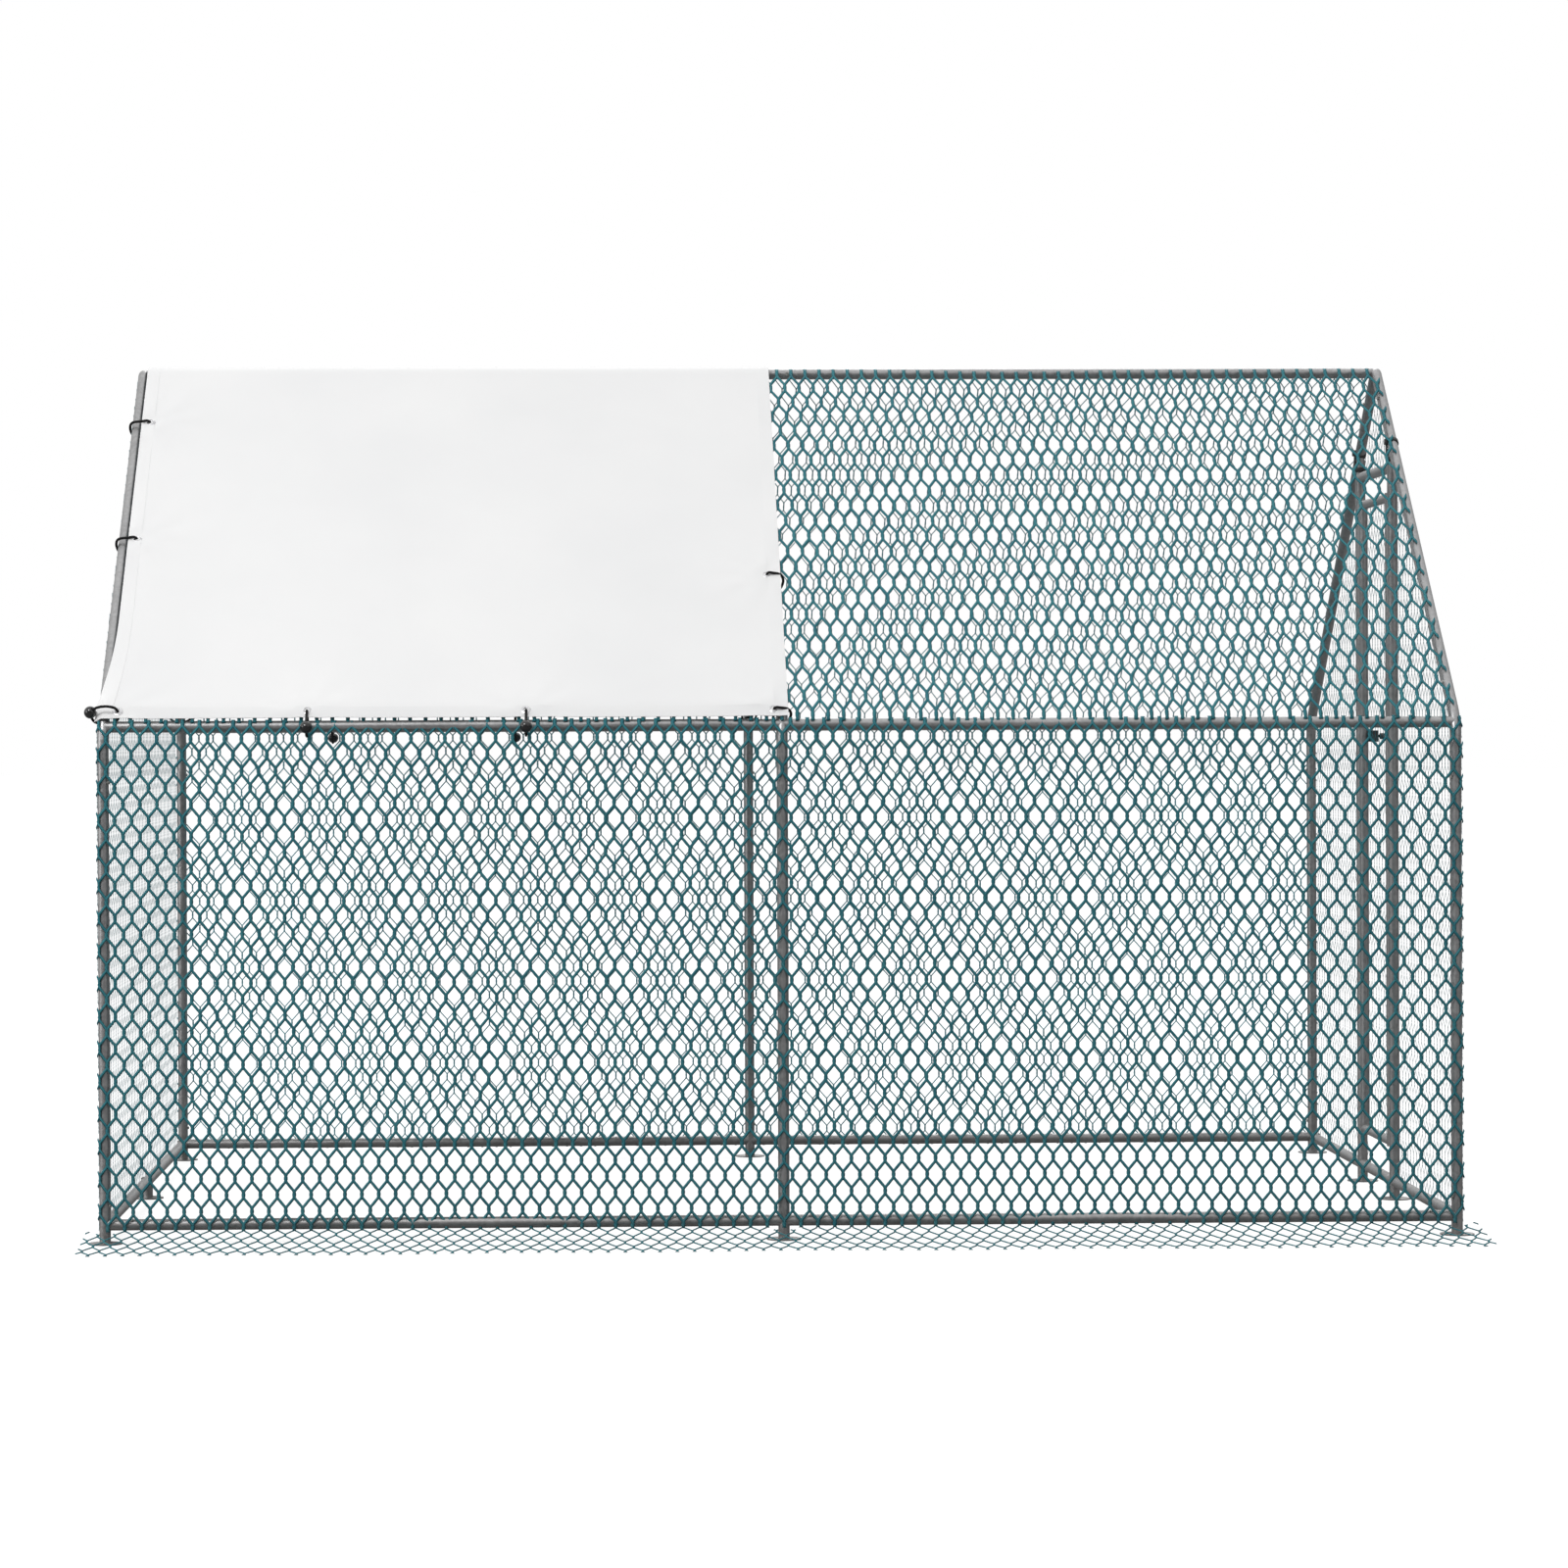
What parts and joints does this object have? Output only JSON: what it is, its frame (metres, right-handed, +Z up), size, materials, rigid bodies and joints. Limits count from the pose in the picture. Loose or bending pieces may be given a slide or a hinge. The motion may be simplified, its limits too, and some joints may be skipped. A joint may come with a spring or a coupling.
{
  "type": "walk-in chicken coop",
  "caption": "Walk-in poultry run: gabled frame of socketed steel tube, hexagonal wire netting, a hinged door with a slide bolt and a cover tied over half the roof.",
  "frame": {"origin": "on the ground at the middle of the frame's footprint, the centre of the corner feet's anchor holes", "axes": "+X to the right along the ridge, towards the door gable; +Y to the back; +Z up"},
  "size_m": [3.0627, 2.2822, 2.0073],
  "materials": {
    "galvanised_tube": "satin galvanised",
    "zinc_hardware": "zinc plated",
    "coated_wire": "plastic-coated, satin",
    "cover_fabric": "coated woven sheet",
    "eyelet_metal": "bright",
    "bungee_cord": "braided",
    "bungee_ball": "gloss",
    "black_plastic": "moulded"
  },
  "bodies": {
    "frame": {"bottom_rails_back": "galvanised_tube", "bottom_rails_front": "galvanised_tube", "bottom_rails_left": "galvanised_tube", "bottom_rails_right": "galvanised_tube", "bungee_balls": "bungee_ball", "bungee_cords": "bungee_cord", "cover_eyelets": "eyelet_metal", "door_lintel": "galvanised_tube", "door_post_back": "galvanised_tube", "door_post_clips": "black_plastic", "door_post_front": "galvanised_tube", "door_sill": "galvanised_tube", "eave_brackets_corner": "galvanised_tube", "eave_brackets_middle": "galvanised_tube", "eave_rails_back": "galvanised_tube", "eave_rails_front": "galvanised_tube", "foot_sockets_corner": "galvanised_tube", "foot_sockets_door": "galvanised_tube", "foot_sockets_middle": "galvanised_tube", "frame_screws": "zinc_hardware", "hinge_lugs": "zinc_hardware", "hinge_pins": "zinc_hardware", "latch_keeper": "black_plastic", "left_gable_net": "coated_wire", "post_back_left": "galvanised_tube", "post_back_middle": "galvanised_tube", "post_back_right": "galvanised_tube", "post_front_left": "galvanised_tube", "post_front_middle": "galvanised_tube", "post_front_right": "galvanised_tube", "rafters_left": "galvanised_tube", "rafters_middle": "galvanised_tube", "rafters_right": "galvanised_tube", "ridge_brackets": "galvanised_tube", "ridge_rails": "galvanised_tube", "right_gable_nets": "coated_wire", "roof_cover": "cover_fabric", "roof_net_back_left": "coated_wire", "roof_net_back_right": "coated_wire", "roof_net_front_left": "coated_wire", "roof_net_front_right": "coated_wire", "skirt_net": "coated_wire", "wall_net_back_left": "coated_wire", "wall_net_back_right": "coated_wire", "wall_net_front_left": "coated_wire", "wall_net_front_right": "coated_wire"},
    "door": {"door_stile_hinge": "galvanised_tube", "door_stile_latch": "galvanised_tube", "door_rail_bottom": "galvanised_tube", "door_rail_top": "galvanised_tube", "door_net": "coated_wire", "hinge_eyes": "zinc_hardware", "latch_body": "black_plastic"},
    "bolt": {"latch_bolt": "black_plastic"}
  },
  "joints": [
    {"name": "door_swing", "type": "hinge", "parent": "frame", "child": "door", "pos_m": [1.4875, -0.19925, 0], "axis": [0, 0, -1], "range_deg": [0, 95]},
    {"name": "bolt_slide", "type": "slide", "parent": "door", "child": "bolt", "axis": [0, 1, 0], "range_m": [0, 0.035]}
  ]
}
